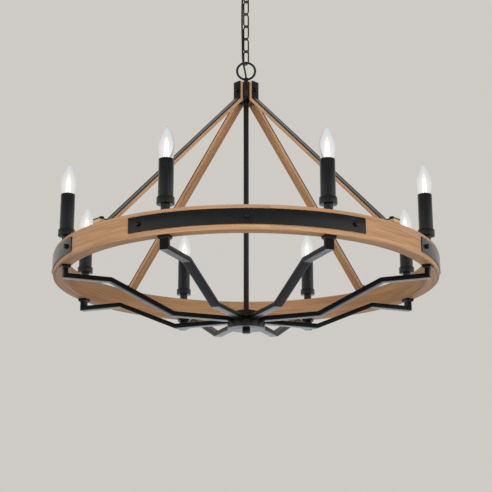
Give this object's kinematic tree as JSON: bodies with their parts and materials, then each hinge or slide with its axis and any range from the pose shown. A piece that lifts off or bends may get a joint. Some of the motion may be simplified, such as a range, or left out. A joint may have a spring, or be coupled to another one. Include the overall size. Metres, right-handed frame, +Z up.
{
  "type": "wagon wheel chandelier",
  "caption": "Round wooden wheel rim with steel straps, hung by sloping arms and a chain, with candle lamps on steel arms that meet at a lower hub.",
  "frame": {"origin": "middle of the crossbar's top face, on the ceiling plane", "axes": "+Z up into the ceiling, +X to the right and -Y towards the picture's viewer; the arms stand at 45 degrees to X and Y"},
  "size_m": [0.9316, 0.9316, 0.9617],
  "materials": {
    "black_steel": "matt powder coat",
    "oak": "matt",
    "zinc_steel": "zinc plated",
    "socket_plastic": "matt",
    "cable_sheath": "matt",
    "bulb_glass": "clear"
  },
  "bodies": {
    "ceiling_mount": {"crossbar": "zinc_steel", "crossbar_nipple": "zinc_steel", "canopy_loop": "black_steel", "supply_cable": "cable_sheath"},
    "canopy": {"canopy": "black_steel"},
    "lock_ring": {"canopy_lock_ring": "black_steel"},
    "link_1": {"chain_link_1": "black_steel"},
    "link_2": {"chain_link_2": "black_steel"},
    "link_3": {"chain_link_3": "black_steel"},
    "link_4": {"chain_link_4": "black_steel"},
    "link_5": {"chain_link_5": "black_steel"},
    "link_6": {"chain_link_6": "black_steel"},
    "wheel": {"hub_loop": "black_steel", "hub_column": "black_steel", "hex_nuts": "black_steel", "stem": "black_steel", "wood_arm_1": "oak", "wood_arm_2": "oak", "wood_arm_3": "oak", "wood_arm_4": "oak", "arm_strap_1": "black_steel", "arm_strap_2": "black_steel", "arm_strap_3": "black_steel", "arm_strap_4": "black_steel", "arm_screws": "black_steel", "foot_screws": "black_steel", "rim_segment_1": "oak", "rim_segment_2": "oak", "rim_segment_3": "oak", "rim_segment_4": "oak", "rim_strap_1": "black_steel", "rim_strap_2": "black_steel", "rim_strap_3": "black_steel", "rim_strap_4": "black_steel", "strap_screws": "black_steel", "lower_hub": "black_steel", "hub_cover": "black_steel", "hub_dome": "black_steel", "finial": "black_steel", "light_arm_1": "black_steel", "light_arm_2": "black_steel", "light_arm_3": "black_steel", "light_arm_4": "black_steel", "light_arm_5": "black_steel", "light_arm_6": "black_steel", "light_arm_7": "black_steel", "light_arm_8": "black_steel", "lamp_nipples": "zinc_steel", "candle_cups": "black_steel", "candle_sleeves": "black_steel", "lamp_sockets": "socket_plastic", "lamp_wires": "cable_sheath"},
    "bulb_1": {"bulb_1": "bulb_glass"},
    "bulb_2": {"bulb_2": "bulb_glass"},
    "bulb_3": {"bulb_3": "bulb_glass"},
    "bulb_4": {"bulb_4": "bulb_glass"},
    "bulb_5": {"bulb_5": "bulb_glass"},
    "bulb_6": {"bulb_6": "bulb_glass"},
    "bulb_7": {"bulb_7": "bulb_glass"},
    "bulb_8": {"bulb_8": "bulb_glass"}
  },
  "joints": [
    {"name": "canopy_drop", "type": "slide", "parent": "ceiling_mount", "child": "canopy", "axis": [0, 0, -1], "range_m": [0, 0.045]},
    {"name": "lock_ring_turn", "type": "hinge", "parent": "canopy", "child": "lock_ring", "pos_m": [0, 0, -0.0323], "axis": [0, 0, 1], "continuous": true},
    {"name": "link_1_swing", "type": "hinge", "parent": "ceiling_mount", "child": "link_1", "pos_m": [0, 0, -0.0663], "axis": [0.7071, -0.7071, 0], "range_deg": [-10, 10], "deforming": ["supply_cable"]},
    {"name": "link_2_swing", "type": "hinge", "parent": "link_1", "child": "link_2", "pos_m": [0, 0, -0.1006], "axis": [0.7071, 0.7071, 0], "range_deg": [-10, 10], "deforming": ["supply_cable"]},
    {"name": "link_3_swing", "type": "hinge", "parent": "link_2", "child": "link_3", "pos_m": [0, 0, -0.1351], "axis": [0.7071, -0.7071, 0], "range_deg": [-10, 10], "deforming": ["supply_cable"]},
    {"name": "link_4_swing", "type": "hinge", "parent": "link_3", "child": "link_4", "pos_m": [0, 0, -0.1696], "axis": [0.7071, 0.7071, 0], "range_deg": [-10, 10], "deforming": ["supply_cable"]},
    {"name": "link_5_swing", "type": "hinge", "parent": "link_4", "child": "link_5", "pos_m": [0, 0, -0.2041], "axis": [0.7071, -0.7071, 0], "range_deg": [-10, 10], "deforming": ["supply_cable"]},
    {"name": "link_6_swing", "type": "hinge", "parent": "link_5", "child": "link_6", "pos_m": [0, 0, -0.2386], "axis": [0.7071, 0.7071, 0], "range_deg": [-10, 10], "deforming": ["supply_cable"]},
    {"name": "wheel_swing", "type": "hinge", "parent": "link_6", "child": "wheel", "pos_m": [0, 0, -0.2731], "axis": [0.7071, -0.7071, 0], "range_deg": [-10, 10], "deforming": ["supply_cable"]},
    {"name": "bulb_1_unscrew", "type": "slide", "parent": "wheel", "child": "bulb_1", "axis": [0, 0, 1], "range_m": [0, 0.024]},
    {"name": "bulb_2_unscrew", "type": "slide", "parent": "wheel", "child": "bulb_2", "axis": [0, 0, 1], "range_m": [0, 0.024]},
    {"name": "bulb_3_unscrew", "type": "slide", "parent": "wheel", "child": "bulb_3", "axis": [0, 0, 1], "range_m": [0, 0.024]},
    {"name": "bulb_4_unscrew", "type": "slide", "parent": "wheel", "child": "bulb_4", "axis": [0, 0, 1], "range_m": [0, 0.024]},
    {"name": "bulb_5_unscrew", "type": "slide", "parent": "wheel", "child": "bulb_5", "axis": [0, 0, 1], "range_m": [0, 0.024]},
    {"name": "bulb_6_unscrew", "type": "slide", "parent": "wheel", "child": "bulb_6", "axis": [0, 0, 1], "range_m": [0, 0.024]},
    {"name": "bulb_7_unscrew", "type": "slide", "parent": "wheel", "child": "bulb_7", "axis": [0, 0, 1], "range_m": [0, 0.024]},
    {"name": "bulb_8_unscrew", "type": "slide", "parent": "wheel", "child": "bulb_8", "axis": [0, 0, 1], "range_m": [0, 0.024]}
  ]
}
